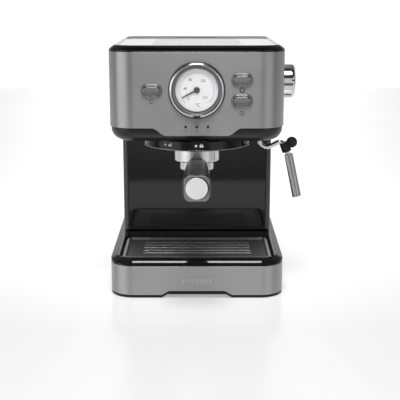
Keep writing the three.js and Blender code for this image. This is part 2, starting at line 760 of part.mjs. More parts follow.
// ---------------------------------------------------------------- water tank
function makeTank() {
  const low = BASE_TOP + GAP;
  const wall = 2.2;
  const vessel = layered(TANK, [
    [3, low],
    [0, low + 3],
    [0, TANK_TOP],
    [wall, TANK_TOP],
    [wall, low + 4],
    [wall + 2, low + 3],
  ]);
  const outlet = rod(5.9, 40, 70).translate(0, VALVE_Y, 0);
  const valve = [[2.5, 44], [5.6, 44], [5.6, low + 3.3], [8, low + 3.3], [8, low + 5.5], [2.5, low + 5.5]];
  const lidLow = TANK_TOP + GAP;
  const lidTop = HEAD_TOP - 0.5;
  const under = [[3.5, lidTop - 3], [3.5, lidLow], [0, lidLow]];
  const crown = [[0, lidTop - 5], ...roundOver(0, lidTop - 5, 5, 5, 3)];
  const fingerGrip = layered(plate(30, 6, 6, TANK.front + 14), [[1, lidTop - 1.6], [0, lidTop + 2]]);
  return [
    piece('water_tank', cut(vessel, outlet), 'smoke'),
    piece('tank_valve', turned(valve, { closed: true, segments: 20 }), 'satin', 0, VALVE_Y),
    piece('tank_lid', cut(layered(TANK, [...under, ...crown]), fingerGrip), 'satin'),
  ];
}

// ---------------------------------------------------------------- whole machine
const machine = assembly(
  ...makeFeet(),
  makeBaseTub(),
  makeCordGland(),
  makeBaseBand(),
  makeBaseRim(),
  makeDripTray(),
  makeDripGrate(),
  makeColumnShell(),
  makeSplashPanel(),
  makeHeadBand(),
  makeHeadTopRim(),
  makeCupWarmer(),
  makeHeadLowerCover(),
  makeGroupDisc(),
  makeGauge(),
  ...makeButtons(),
  ...makeLamps(),
  makeControlBoard(),
  makeGroupCollar(),
  ...makeBrewSeals(),
  ...makeBoiler(),
  makePump(),
  ...makePlumbing(),
  ...makeSteamKnob(),
  ...makeSteamWand(),
  makePortafilterBody(),
  makeBasket(),
  makeSpout(),
  ...makeHandle(),
  ...makeTank(),
);

// The origin becomes the centre of the footprint, on the table.
const middle = new THREE.Box3().setFromObject(machine).getCenter(new THREE.Vector3());
machine.position.set(-middle.x, -middle.y, 0);

export default machine;
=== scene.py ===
"""Looks of the pump espresso machine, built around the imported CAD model.

Shapes are drawn in millimetres in the body's own frame: X = 0 is its mirror plane, Y = 0 its front
face (the user stands at -Y) and Z = 0 the table. TO_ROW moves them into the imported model's frame.
"""

import math
from collections import namedtuple

import bmesh
import bpy
from mathutils import Matrix, Vector
from mathutils.geometry import interpolate_bezier


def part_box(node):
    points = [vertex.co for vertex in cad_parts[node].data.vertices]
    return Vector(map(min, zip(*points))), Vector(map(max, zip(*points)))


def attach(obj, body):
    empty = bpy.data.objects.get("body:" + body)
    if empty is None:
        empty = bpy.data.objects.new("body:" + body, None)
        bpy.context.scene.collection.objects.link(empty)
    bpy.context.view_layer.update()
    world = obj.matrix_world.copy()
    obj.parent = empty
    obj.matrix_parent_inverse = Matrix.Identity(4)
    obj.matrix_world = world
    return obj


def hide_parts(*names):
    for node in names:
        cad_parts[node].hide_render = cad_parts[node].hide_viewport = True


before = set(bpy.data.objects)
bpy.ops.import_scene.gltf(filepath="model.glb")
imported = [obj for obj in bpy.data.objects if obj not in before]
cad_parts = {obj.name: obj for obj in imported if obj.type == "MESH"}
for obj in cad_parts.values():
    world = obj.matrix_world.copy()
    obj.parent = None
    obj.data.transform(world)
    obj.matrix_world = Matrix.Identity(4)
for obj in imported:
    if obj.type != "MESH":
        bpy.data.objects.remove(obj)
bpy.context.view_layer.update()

MM = 0.001
HEAD_LOW, HEAD_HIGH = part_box("head_steel_band")
MID_X = (HEAD_LOW.x + HEAD_HIGH.x) / 2
TO_ROW = Matrix.Translation((MID_X, HEAD_LOW.y, 0)) @ Matrix.Scale(MM, 4)

# ------------------------ driving dimensions, millimetres
CORNER_STEPS = 12  # facets in a quarter turn of a housing's corner
TURNED_STEPS = 96  # facets round a turned piece
SHARP = math.radians(38)  # edges steeper than this stay crisp

GROUP_Y = 74
GAUGE_Z = 258.8
KNOB = {"y": 70, "z": 263.3, "radius": 21, "near": 107.1, "far": 122.6}
WAND = (79, 70)
LAMP = {"z": 214.9, "pitch": 13.3, "radius": 1.4}
FEET = {"x": 85, "near": 32, "far": 234}
VALVE_Y = 234
HOSE_Y = 170
SLOTS = {"rows": 5, "first": 37, "pitch": 12.6, "half_length": 69.5, "half_width": 1.7}
BUTTONS = {"single_cup": (-54, 258), "double_cup": (54, 271), "steam": (54, 246)}
LOCK_TWIST = 35  # degrees from the inserting mark to the locked one
BASE_TOP = 51
NOTCH = {"half_width": 43.5, "slope": 8.5, "rise": 5.2}
LIP = {"half_width": 37, "slope": 17, "rise": 9.1}
GLAND = (-70, 25)
HEAD_BOTTOM = 195.6
HEAD_TOP = 311
TANK_TOP = 296

# A rounded rectangle seen from above.
Plan = namedtuple("Plan", "half_width front back front_radius back_radius")


def plate(half_width, half_depth, radius, centre=0.0):
    return Plan(half_width, centre - half_depth, centre + half_depth, radius, radius)


HEAD = Plan(106.5, 0, 206, 32, 10)
BASE = Plan(108.5, 0, 262, 30, 18)
COLUMN = Plan(101, 143.5, 206, 7, 8)
SPLASH = Plan(94, 143.8, 146.8, 0.8, 0.5)
TANK = Plan(103, 207, 262, 6, 18)
WARMER = Plan(95, 13, 193, 18, 8)
WELL = Plan(95, 11.5, 113, 8, 8)
GRATE = plate(94.2, 49.95, 7.5, 62.25)
TRAY = plate(93.5, 49.25, 7, 62.25)
BUTTON = plate(10.4, 5.4, 5.4)
BUTTON_BEZEL = plate(13.05, 8.05, 8.05)


# ------------------------ outlines
def angles(start, end, steps):
    """Evenly spaced angles in radians between two given in degrees."""
    return [math.radians(start + (end - start) * i / steps) for i in range(steps + 1)]


def arc(x, y, radius, start, end, steps):
    """Points on a circle between two angles in degrees."""
    turns = angles(start, end, steps)
    return [(x + radius * math.cos(a), y + radius * math.sin(a)) for a in turns]


def outline(plan, inset, z, front_xs=(), steps=CORNER_STEPS):
    """The plan's edge at height z, pulled in by the inset, with extra points along its front."""
    right = plan.half_width - inset
    near = max(plan.front_radius - inset, 0.3)
    far = max(plan.back_radius - inset, 0.3)
    low = plan.front + inset + near
    high = plan.back - inset - far
    points = [
        *arc(right - near, low, near, -90, 0, steps),
        *arc(right - far, high, far, 0, 90, steps),
        *arc(far - right, high, far, 90, 180, steps),
        *arc(near - right, low, near, 180, 270, steps),
        *[(x, plan.front + inset) for x in front_xs],
    ]
    return [Vector((x, y, z)) for x, y in points]


def circle(radius, z, segments=TURNED_STEPS):
    return [Vector((x, y, z)) for x, y in arc(0, 0, radius, 0, 360, segments)[:-1]]


def eased(points, radius, closed=False, steps=4):
    """Rounds the corners of an open or closed run of 2-D points."""
    count = len(points)
    result = []
    for i, point in enumerate(points):
        if not closed and i in (0, count - 1):
            result.append(tuple(point))
            continue
        corner = Vector(point)
        back = Vector(points[i - 1]) - corner
        ahead = Vector(points[(i + 1) % count]) - corner
        reach = min(radius, 0.45 * back.length, 0.45 * ahead.length)
        start = corner + back.normalized() * reach
        end = corner + ahead.normalized() * reach
        for j in range(steps + 1):
            t = j / steps
            spot = start * (1 - t) ** 2 + corner * (2 * t * (1 - t)) + end * t**2
            result.append(tuple(spot))
    return result


def smoothstep(value):
    t = min(max(value, 0.0), 1.0)
    return t * t * (3 - 2 * t)


# ------------------------ meshes
def skin(rings, closed=False):
    """Joins a stack of outlines. An open stack is capped; a closed one leaves a hole through it."""
    mesh = bmesh.new()
    rows = [[mesh.verts.new(point) for point in ring] for ring in rings]
    count = len(rows[0])
    pairs = list(zip(rows, rows[1:]))
    if closed:
        pairs.append((rows[-1], rows[0]))
    for lower, upper in pairs:
        for j in range(count):
            k = (j + 1) % count
            mesh.faces.new((lower[j], lower[k], upper[k], upper[j]))
    if not closed:
        mesh.faces.new(list(reversed(rows[0])))
        mesh.faces.new(rows[-1])
    bmesh.ops.recalc_face_normals(mesh, faces=mesh.faces)
    return mesh


def layered(plan, steps, closed=False, front_xs=()):
    """A stack of the plan's outlines, given as [inset, z] steps."""
    return skin([outline(plan, inset, z, front_xs) for inset, z in steps], closed)


def turned(steps, closed=False, segments=TURNED_STEPS):
    """A stack of circles about Z, given as [radius, z] steps."""
    return skin([circle(radius, z, segments) for radius, z in steps], closed)


def turned_ring(points, radius, segments=TURNED_STEPS):
    """A turned ring given by the outline of its section, with eased corners."""
    return turned(eased(points, radius, closed=True), True, segments)


def ring_shape(points, low, high):
    """A flat shape given by its outline, made into a slab between two heights."""
    return skin([[Vector((x, y, z)) for x, y in points] for z in (low, high)])


def box(x0, x1, y0, y1, z0, z1):
    return ring_shape([(x0, y0), (x1, y0), (x1, y1), (x0, y1)], z0, z1)


def rod(radius, low, high, segments=48):
    return turned([(radius, low), (radius, high)], segments=segments)


def shifted(mesh, x=0.0, y=0.0, z=0.0):
    bmesh.ops.translate(mesh, verts=mesh.verts, vec=(x, y, z))
    return mesh


def spun(mesh, degrees, axis):
    mesh.transform(Matrix.Rotation(math.radians(degrees), 4, axis))
    return mesh


def face_front(mesh):
    """Turns a piece drawn face up so that it looks at the user."""
    return spun(mesh, 90, "X")


def aimed(mesh, direction):
    """Turns a piece drawn along +Z so that it runs in the given direction."""
    mesh.transform(Vector(direction).to_track_quat("Z", "Y").to_matrix().to_4x4())
    return mesh


def merged(*meshes):
    """Puts separate closed shapes in one mesh."""
    result = meshes[0]
    for other in meshes[1:]:
        copy = bpy.data.meshes.new("part")
        other.to_mesh(copy)
        result.from_mesh(copy)
        bpy.data.meshes.remove(copy)
        other.free()
    return result


def swept(points, radius):
    """A round tube along a run of points, with flat ends."""
    rings = []
    last = len(points) - 1
    side = Vector((0, 1, 0))
    section = arc(0, 0, radius, 0, 360, 32)[:-1]
    for i, point in enumerate(points):
        ahead = (points[min(i + 1, last)] - points[max(i - 1, 0)]).normalized()
        across = ahead.cross(side).normalized()
        up = across.cross(ahead).normalized()
        rings.append([point + across * u + up * v for u, v in section])
    return skin(rings)


def smooth_path(points):
    """A smooth run through the given points."""
    steps = 12
    knots = [Vector(point) for point in points]
    last = len(knots) - 1
    slopes = [(knots[min(i + 1, last)] - knots[max(i - 1, 0)]) / 2 for i in range(last + 1)]
    path = [knots[0]]
    for i in range(last):
        span = (knots[i + 1] - knots[i]).length
        leave = knots[i] + slopes[i].normalized() * span / 3
        arrive = knots[i + 1] - slopes[i + 1].normalized() * span / 3
        path.extend(interpolate_bezier(knots[i], leave, arrive, knots[i + 1], steps + 1)[1:])
    return path


# ------------------------ objects
def link(name, mesh):
    data = bpy.data.meshes.new(name)
    mesh.to_mesh(data)
    mesh.free()
    data.transform(TO_ROW)
    piece = bpy.data.objects.new(name, data)
    bpy.context.scene.collection.objects.link(piece)
    return piece


def baked(piece):
    """Applies a piece's modifiers to its mesh."""
    graph = bpy.context.evaluated_depsgraph_get()
    graph.update()
    old = piece.data
    piece.data = bpy.data.meshes.new_from_object(piece.evaluated_get(graph))
    piece.modifiers.clear()
    bpy.data.meshes.remove(old)


def combine(piece, operation, *tools):
    """Cuts the tools out of the piece, or joins them to it."""
    helpers = [link("tool", tool) for tool in tools]
    for helper in helpers:
        step = piece.modifiers.new("combine", "BOOLEAN")
        step.object = helper
        step.operation = operation
        step.solver = "EXACT"
    baked(piece)
    for helper in helpers:
        bpy.data.objects.remove(helper)


def make(name, mesh, finish, body, replaces=(), cuts=(), joins=()):
    """Builds one finished piece: shape, finish, shading, and the CAD body that it rides on."""
    piece = link(name, mesh)
    if joins:
        combine(piece, "UNION", *joins)
    if cuts:
        combine(piece, "DIFFERENCE", *cuts)
    piece.data.materials.clear()
    piece.data.materials.append(LOOKS[finish])
    piece.data.shade_smooth()
    piece.data.set_sharp_from_angle(angle=SHARP)
    weigh = piece.modifiers.new("flat_faces", "WEIGHTED_NORMAL")
    weigh.keep_sharp = True
    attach(piece, body)
    if replaces:
        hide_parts(*replaces)


# ------------------------ finishes
NOISE_SPAN = (0.3, 0.7)  # where most values of a noise lie


class Finish:
    """A material being built: its nodes, its shader, and noise in object space (metres)."""

    def __init__(self, name, color, metallic=0.0, roughness=0.5, **constants):
        self.material = bpy.data.materials.new("look_" + name)
        self.material.use_nodes = True
        self.tree = self.material.node_tree
        self.shader = self.tree.nodes["Principled BSDF"]
        self.color = color
        self.shader.inputs["Base Color"].default_value = (*color, 1)
        self.shader.inputs["Metallic"].default_value = metallic
        self.shader.inputs["Roughness"].default_value = roughness
        for socket, value in constants.items():
            self.shader.inputs[socket.replace("_", " ")].default_value = value
        self.place = self.tree.nodes.new("ShaderNodeTexCoord").outputs["Object"]
        self.height = None

    def join(self, start, end):
        self.tree.links.new(start, end)

    def node(self, kind, **inputs):
        """A new node with some of its inputs set."""
        node = self.tree.nodes.new("ShaderNode" + kind)
        for socket, value in inputs.items():
            node.inputs[socket.replace("_", " ")].default_value = value
        return node

    def noise(self, scale, detail, stretch=(1, 1, 1), distortion=0.0):
        """Noise of that many grains per metre, stretched by axis."""
        mapping = self.node("Mapping", Scale=stretch)
        self.join(self.place, mapping.inputs["Vector"])
        node = self.node("TexNoise", Scale=scale, Detail=detail, Distortion=distortion)
        self.join(mapping.outputs["Vector"], node.inputs["Vector"])
        return node.outputs["Fac"]

    def ranged(self, value, low, high, span=NOISE_SPAN):
        """Maps the span of a value's range onto low to high."""
        node = self.node("MapRange", From_Min=span[0], From_Max=span[1], To_Min=low, To_Max=high)
        self.join(value, node.inputs["Value"])
        return node.outputs["Result"]

    def blended(self, first, second, share):
        """Mixes two values."""
        node = self.node("Mix", Factor=share)
        self.join(first, node.inputs["A"])
        self.join(second, node.inputs["B"])
        return node.outputs["Result"]

    def tint(self, value, dark, light):
        """Colour that follows the value between two multiples of the base colour."""
        node = self.node("ValToRGB")
        for stop, position, level in zip(node.color_ramp.elements, NOISE_SPAN, (dark, light)):
            stop.position = position
            stop.color = (*[min(c * level, 1) for c in self.color], 1)
        self.join(value, node.inputs["Fac"])
        self.join(node.outputs["Color"], self.shader.inputs["Base Color"])

    def rough(self, value, low, high):
        self.join(self.ranged(value, low, high), self.shader.inputs["Roughness"])

    def bump(self, value, millimetres):
        """Adds relief of that depth on top of what is there already."""
        node = self.node("Bump", Distance=millimetres * MM, Strength=1.0)
        self.join(value, node.inputs["Height"])
        if self.height is not None:
            self.join(self.height, node.inputs["Normal"])
        self.height = node.outputs["Normal"]
        self.join(self.height, self.shader.inputs["Normal"])


def brushed(name, color, roughness, anisotropy):
    """Steel brushed round the housing: hair-fine scratches that spread reflections up and down."""
    grain = {"Anisotropic": anisotropy, "Anisotropic_Rotation": 0.25}
    finish = Finish(name, color, metallic=1.0, roughness=sum(roughness) / 2, **grain)
    tangent = finish.node("Tangent")
    tangent.direction_type = "RADIAL"
    tangent.axis = "Z"
    finish.join(tangent.outputs["Tangent"], finish.shader.inputs["Tangent"])
    fine = finish.noise(1.0, 3, (60, 60, 2600))
    coarse = finish.noise(1.0, 2, (14, 14, 700))
    clouds = finish.noise(16, 3)
    streaks = finish.blended(fine, coarse, 0.25)
    finish.tint(finish.blended(streaks, clouds, 0.35), 0.93, 1.06)
    finish.rough(clouds, *roughness)
    finish.bump(streaks, 0.004)
    return finish.material


def moulded(name, color, roughness, grain, depth, shine=0.5, glow=0.0):
    """Moulded plastic or rubber: a fine grain, slightly uneven gloss, and a little dust."""
    finish = Finish(name, color, roughness=roughness, Specular_IOR_Level=shine, Subsurface_Weight=glow)
    grains = finish.noise(grain, 2)
    cloud = finish.noise(30, 3)
    finish.tint(finish.blended(grains, cloud, 0.5), 0.8, 1.25)
    finish.rough(finish.blended(grains, cloud, 0.6), roughness * 0.82, roughness * 1.2)
    finish.bump(grains, depth)
    return finish.material


def glossy(name, color, roughness, shine=0.5):
    """Piano gloss: near-perfect surface with hairline scratches and the flow of the moulding."""
    finish = Finish(name, color, roughness=roughness, Specular_IOR_Level=shine)
    hair = finish.noise(900, 2, (1, 0.05, 1), 0.6)
    flow = finish.noise(14, 2)
    finish.tint(flow, 0.85, 1.2)
    finish.rough(finish.blended(hair, flow, 0.5), roughness * 0.6, roughness * 1.6)
    finish.bump(flow, 0.05)
    return finish.material


def polished(name, color, roughness, depth=0.02):
    """Plated or polished metal: smears on the gloss and a faint orange peel."""
    finish = Finish(name, color, metallic=1.0, roughness=roughness)
    smear = finish.noise(45, 4, (1, 1, 0.4), 0.4)
    peel = finish.noise(260, 2)
    finish.tint(smear, 0.92, 1.05)
    finish.rough(smear, roughness * 0.6, roughness * 1.7)
    finish.bump(peel, depth)
    return finish.material


def cast(name, color, roughness, grain, depth, metallic=1.0):
    """Cast, blasted or lacquered metal: an even, fine grain."""
    finish = Finish(name, color, metallic=metallic, roughness=roughness)
    grains = finish.noise(grain, 3)
    cloud = finish.noise(24, 3)
    finish.tint(finish.blended(grains, cloud, 0.5), 0.88, 1.1)
    finish.rough(grains, roughness * 0.85, roughness * 1.2)
    finish.bump(grains, depth)
    return finish.material


def clear(name, color, roughness, ior, cover):
    """Glass or clear plastic that lets light through, with a trace of wiping marks."""
    finish = Finish(name, color, roughness=roughness, IOR=ior, Alpha=cover)
    wipes = finish.noise(60, 3, (1, 1, 0.3), 0.5)
    finish.rough(wipes, roughness * 0.5, roughness * 1.8)
    finish.tint(wipes, 0.9, 1.1)
    return finish.material


def board(name, color):
    """Solder resist with a faint weave of the laminate."""
    finish = Finish(name, color, roughness=0.4)
    weave = finish.noise(1, 1, (500, 500, 40))
    finish.tint(weave, 0.7, 1.2)
    finish.rough(weave, 0.32, 0.5)
    finish.bump(weave, 0.03)
    return finish.material


# Each finish: how it is built, its colour, its roughness, and what else its builder asks for.
FINISHES = {
    "brushed_steel": (brushed, (0.33, 0.33, 0.332), (0.37, 0.43), 0.75),
    "steel_plate": (cast, (0.56, 0.56, 0.565), 0.38, 2600, 0.004),
    "sheet_steel": (polished, (0.34, 0.34, 0.345), 0.24, 0.03),
    "chrome": (polished, (0.60, 0.60, 0.61), 0.08),
    "cast_alloy": (cast, (0.55, 0.55, 0.56), 0.4, 1500, 0.05),
    "brass": (cast, (0.68, 0.50, 0.24), 0.25, 900, 0.02),
    "gloss_black": (glossy, (0.008, 0.008, 0.009), 0.06, 0.42),
    "satin_black": (moulded, (0.022, 0.022, 0.024), 0.32, 2600, 0.03),
    "housing_grey": (moulded, (0.009, 0.009, 0.010), 0.3, 2200, 0.02, 0.36),
    "silver": (cast, (0.26, 0.26, 0.265), 0.26, 3000, 0.01),
    "rubber": (moulded, (0.007, 0.007, 0.008), 0.5, 1800, 0.03, 0.25),
    "dial_white": (moulded, (0.97, 0.97, 0.975), 0.45, 3500, 0.003),
    "needle_black": (moulded, (0.014, 0.014, 0.015), 0.5, 3500, 0.01, 0.25),
    "clear_lens": (clear, (0.95, 0.96, 0.98), 0.03, 1.47, 0.04),
    "lamp_lens": (glossy, (0.012, 0.012, 0.016), 0.08),
    "board_green": (board, (0.02, 0.16, 0.07)),
    "smoked_tank": (clear, (0.05, 0.055, 0.06), 0.08, 1.49, 0.72),
    "hose_white": (moulded, (0.8, 0.79, 0.76), 0.4, 900, 0.04, 0.5, 0.1),
    "warm_plate": (cast, (0.72, 0.72, 0.73), 0.16, 2600, 0.002),
    "end_alloy": (cast, (0.27, 0.27, 0.275), 0.36, 2600, 0.006),
    "badge_alloy": (cast, (0.42, 0.42, 0.425), 0.4, 2600, 0.006),
    "bezel_chrome": (polished, (0.60, 0.60, 0.61), 0.16),
    "disc_black": (glossy, (0.003, 0.003, 0.004), 0.07, 0.24),
    "grey_plate": (cast, (0.26, 0.26, 0.27), 0.3, 2600, 0.004),
    "dark_chrome": (polished, (0.24, 0.24, 0.25), 0.14),
    "rim_black": (glossy, (0.002, 0.002, 0.003), 0.05, 0.3),
    "satin_chrome": (cast, (0.56, 0.56, 0.57), 0.2, 900, 0.006),
    "cap_white": (cast, (0.78, 0.78, 0.78), 0.5, 2600, 0.01, 0.5),
    # Nearly black, darker than the other black plastic: painted shade for the gap under the base's steel
    # band.
    "pan_black": (moulded, (0.008, 0.008, 0.009), 0.4, 2600, 0.03, 0.2),
}
PRINTS = {
    "print_dark": (0.05, 0.05, 0.055),
    "print_grey": (0.42, 0.41, 0.43),
    "print_light": (0.66, 0.64, 0.68),
    "print_pink": (0.76, 0.66, 0.71),
    "print_red": (0.62, 0.24, 0.27),
    "print_white": (0.75, 0.75, 0.76),
}
LOOKS = {name: build(name, *values) for name, (build, *values) in FINISHES.items()}
for ink_name, ink_color in PRINTS.items():
    LOOKS[ink_name] = moulded(ink_name, ink_color, 0.5, 3500, 0.004)


# ------------------------ base
def make_feet():
    """Rubber feet, each a pad on a short stem with a shallow recess underneath."""
    profile = eased([(3, 6.5), (3, 3.9), (10, 3.9), (10, 1), (8.6, 0), (5.6, 0), (5.2, 0.7)], 0.6)
    names = {"front": FEET["near"], "rear": FEET["far"]}
    for end, y in names.items():
        for side, x in (("left", -FEET["x"]), ("right", FEET["x"])):
            node = f"foot_{end}_{side}"
            foot = shifted(turned(profile, segments=48), x, y)
            make(f"{node}_pad", foot, "rubber", "body", [node])


def notch_lift(x, y):
    """How far the base's lower edge rises in the shallow notch at its front."""
    if y > BASE.front_radius:
        return 0.0
    return NOTCH["rise"] * min(max((NOTCH["half_width"] - abs(x)) / NOTCH["slope"], 0), 1)


def lip_lift(x, y):
    """How far the head band's lower edge lies above the lip in its middle."""
    if y > HEAD.front_radius:
        return LIP["rise"]
    return LIP["rise"] * smoothstep((abs(x) - LIP["half_width"]) / LIP["slope"])


def front_bends(start, end):
    """Places along the front where an edge may bend, the same on both sides."""
    half = [start + (end - start) * i / 14 for i in range(15)]
    return [-x for x in reversed(half)] + half


def band(plan, outer, inner, low, high, lift, bends):
    """A wrap-round sheet between two insets, whose lower edge follows the lift."""
    corners = [(outer, low), (outer, high), (inner, high), (inner, low)]
    sheet = eased(corners, 0.35, closed=True, steps=3)
    mesh = layered(plan, sheet, True, bends)
    for vert in mesh.verts:
        share = (high - vert.co.z) / (high - low)
        vert.co.z += share * lift(vert.co.x, vert.co.y)
    return mesh


def bowed(radius, start, end, top):
    """[inset, z] steps over a rim's bowed edge, between two normals in degrees, up to the top."""
    turns = angles(start, end, 16)
    side, crest = math.cos(turns[0]), math.sin(turns[-1])
    return [(radius * (side - math.cos(a)), top - radius * (crest - math.sin(a))) for a in turns]


def rim_line(inset, z, width):
    """A line along the base rim's outer edge: bowed at the front, a plain slope at the sides."""
    fall = math.tan(math.radians(30))
    ring = outline(BASE, inset, z)
    slope = BASE_TOP - 1 - (width - inset) * fall
    for point in ring:
        point.z += (slope - point.z) * smoothstep((point.y - 8) / 22)
    return ring


def make_base():
    bends = front_bends(33, 45)
    steel = band(BASE, 0, 1.2, 4, 41.2, notch_lift, bends)
    rear = box(-120, 120, BASE.back - BASE.back_radius, BASE.back + 5, 0, 60)
    make("base_band", steel, "brushed_steel", "body", ["base_steel_band"], [rear])

    crown = bowed(14, 20, 69, BASE_TOP - 1)
    outer = [outline(BASE, 0.4, 41.5), *[rim_line(inset, z, crown[-1][0]) for inset, z in crown]]
    inner = eased([(-2.8, BASE_TOP - 0.7), (-0.4, BASE_TOP - 1.4), (0, 41.5)], 0.8)
    rim = skin([*outer, *[outline(WELL, inset, z) for inset, z in inner]], closed=True)
    pocket = layered(plate(97, 68, 12, 186), [(0, 40), (0, BASE_TOP - 2.8)])
    holes = [shifted(rod(6.4, 40, 60), y=VALVE_Y), shifted(rod(6, 40, 60), y=HOSE_Y)]
    make("base_top_rim", rim, "gloss_black", "body", ["base_rim"], [pocket, *holes])

    # The pan is the machine's black base. Its skirt fills the gap between the steel band and the table,
    # and its near-black finish is painted shade for that gap.
    tub = [(3.5, 4.2), (2, 4.4), (1.5, 5), (1.5, 42.4), (4.5, 42.4), (4.5, 8)]
    steps = [(0.4, 0.7), (0.4, 3.7), (1.5, 3.7), (1.5, 6), (3.8, 6), (3.8, 0.7)]
    skirt = layered(BASE, eased(steps, 0.3, closed=True), True, bends)
    for vert in skirt.verts:
        vert.co.z += notch_lift(vert.co.x, vert.co.y)
    sockets = [
        shifted(rod(3.3, 3, 6.9), x, y)
        for x in (-FEET["x"], FEET["x"])
        for y in (FEET["near"], FEET["far"])
    ]
    gland_hole = shifted(face_front(rod(6.3, -8, 8)), GLAND[0], BASE.back, GLAND[1])
    cuts = [*sockets, gland_hole]
    make("base_pan", layered(BASE, tub), "pan_black", "body", ["base_tub"], cuts, [skirt])

    badge = []
    for i in range(9):
        half = 4.2 if i % 2 == 0 else 3.0
        x = (i - 4) * 4.2
        badge.append(shifted(layered(plate(1.0, half, 1.0), [(0, -0.3), (0, 0.6), (0.3, 0.9)]), x))
    badge = shifted(face_front(merged(*badge)), z=22.5)
    make("base_badge", badge, "badge_alloy", "body")


def make_cord_gland():
    """The bush that a mains lead would leave through, with a flange."""
    bush = [(3.4, 0), (6, 0), (6, 5), (8.5, 5), (8.5, 6.6), (7.2, 8.2), (3.4, 8.2)]
    bush = spun(turned_ring(bush, 0.5, 48), -90, "X")
    bush = shifted(bush, GLAND[0], BASE.back - 6, GLAND[1])
    make("cord_bush", bush, "rubber", "body", ["cord_gland"])


# ------------------------ drip tray
def slot_cutter(half_length, half_width, y, top):
    """A long slot with round ends and broken top edges."""
    slot = plate(half_length, half_width, half_width, y)
    edge = 0.1
    return layered(slot, [(0, top - 9), (0, top - edge), (-edge, top), (-edge, top + 3)])


def make_drip_tray():
    steps = [(3, 8.5), (0, 14), (0, 44.6), (2, 44.6), (2, 14), (5, 10.7)]
    make("tray_pan", layered(TRAY, eased(steps, 0.8)), "satin_black", "drip_tray", ["drip_tray"])

    under = [(7.4, 46.8), (3.2, 46.8), (3, 44.9), (0, 44.9)]
    top = [(0, 48.2), (4.2, 49.8), (5.2, 49.6), (7.4, 47.7)]
    cuts = []
    for i in range(SLOTS["rows"]):
        y = SLOTS["first"] + i * SLOTS["pitch"]
        cuts.append(slot_cutter(SLOTS["half_length"], SLOTS["half_width"], y, 47.7))
    grate = layered(GRATE, eased([*under, *top], 0.9))
    make("grate_plate", grate, "steel_plate", "drip_grate", ["drip_grate"], cuts)


# ------------------------ column
def make_column():
    low, high = BASE_TOP + 0.3, HEAD_BOTTOM - 0.3
    sheet = eased([(0, low), (0, high), (2.5, high), (2.5, low)], 0.4, closed=True)
    window = box(-94.3, 94.3, COLUMN.front - 5, COLUMN.front + 10, 40, 210)
    shell = layered(COLUMN, sheet, True)
    make("column_housing", shell, "satin_black", "body", ["column_shell"], [window])
    panel = layered(SPLASH, [(0.4, low), (0, low + 0.4), (0, high - 0.4), (0.4, high)])
    make("splash_plate", panel, "gloss_black", "body", ["splash_panel"])


# ------------------------ head
def lamp_row(steps, segments):
    """Three round pieces, one in each lamp's place, left to right."""
    lamps = [face_front(turned(steps, segments=segments)) for _ in range(3)]
    return [shifted(mesh, (i - 1) * LAMP["pitch"], 0, LAMP["z"]) for i, mesh in enumerate(lamps)]


def lamp_holes():
    return lamp_row([(LAMP["radius"] + 0.3, -8), (LAMP["radius"] + 0.3, 4)], 48)


def make_head_band():
    steel = band(HEAD, 0, 1.2, 204, 303.7, lip_lift, front_bends(36, 55))
    gauge_hole = on_dial(rod(28.5, -4, 4, TURNED_STEPS))
    knob_hole = on_knob(rod(6, 100, 115))
    button_holes = [
        shifted(face_front(layered(BUTTON_BEZEL, [(0.9, -4), (0.9, 4)])), x, 0, z)
        for x, z in BUTTONS.values()
    ]
    holes = [gauge_hole, knob_hole, *button_holes, *lamp_holes()]
    make("head_band", steel, "brushed_steel", "body", ["head_steel_band"], holes)


def make_head_top():
    crown = bowed(22, 42, 66, HEAD_TOP)
    ledge = HEAD_TOP - 5
    outer = [outline(HEAD, inset, z) for inset, z in [(0.4, 304), (0, 304.4), *crown]]
    inside = [(-1.5, HEAD_TOP), (0, HEAD_TOP - 1), (0, ledge), (3, ledge), (3, 304)]
    inner = [outline(WARMER, inset, z) for inset, z in eased(inside, 0.5)]
    make("head_rim", skin([*outer, *inner], True), "rim_black", "body", ["head_top_rim"])

    low = ledge + 0.3
    top = [(0.3, low + 4), (3, low + 4.1), (6, low + 4.1)]
    profile = eased([(4, low + 0.3), (4, low), (0.3, low), *top], 0.4)
    cuts = [slot_cutter(55.5, 1.9, 43 + i * 24, low + 4.1) for i in range(6)]
    make("warmer_sheet", layered(WARMER, profile), "warm_plate", "body", ["cup_warmer_plate"], cuts)


def make_lower_cover():
    side = 1.5
    reach, rise = 16.5, 15
    curve = [
        (side + reach * (1 - math.sin(a)), HEAD_BOTTOM + rise * (1 - math.cos(a)))
        for a in angles(0, 90, 14)
    ]
    wall = [(side, 226), (side + 2.5, 226), (side + 2.5, HEAD_BOTTOM + 16), (side + 18, 198.6)]
    cover = layered(HEAD, [*curve, *wall])
    group_hole = shifted(rod(40.9, 180, 220, TURNED_STEPS), y=GROUP_Y)
    wand_hole = shifted(rod(3.8, 180, 220), *WAND)
    duct = box(-55, 55, 148, 194, 180, 206)
    cuts = [group_hole, wand_hole, duct, *lamp_holes()]
    make("lower_cover", cover, "housing_grey", "body", ["head_lower_cover"], cuts)


def make_lamps():
    lens = [(LAMP["radius"], -6), (LAMP["radius"], 0.1), (1.1, 0.5), (0.5, 0.62), (0.1, 0.64)]
    for side, lamp in zip(("left", "middle", "right"), lamp_row(lens, 32)):
        make(f"lamp_lens_{side}", lamp, "lamp_lens", "body", [f"lamp_{side}"])


# ------------------------ printed marks
INK = 0.06  # height of printed marks
SUNK = -0.02  # their back, just inside the face that carries them


def slab(points, front=0.0):
    """A printed shape: 2-D points in the front view, standing just proud of a face at y = front."""
    return shifted(face_front(ring_shape(points, SUNK, INK)), y=front)


def print_arc(x, z, radius, width, start, end, front=0.0, steps=48):
    outer = arc(x, z, radius + width / 2, start, end, steps)
    inner = arc(x, z, radius - width / 2, end, start, steps)
    return slab([*outer, *inner], front)


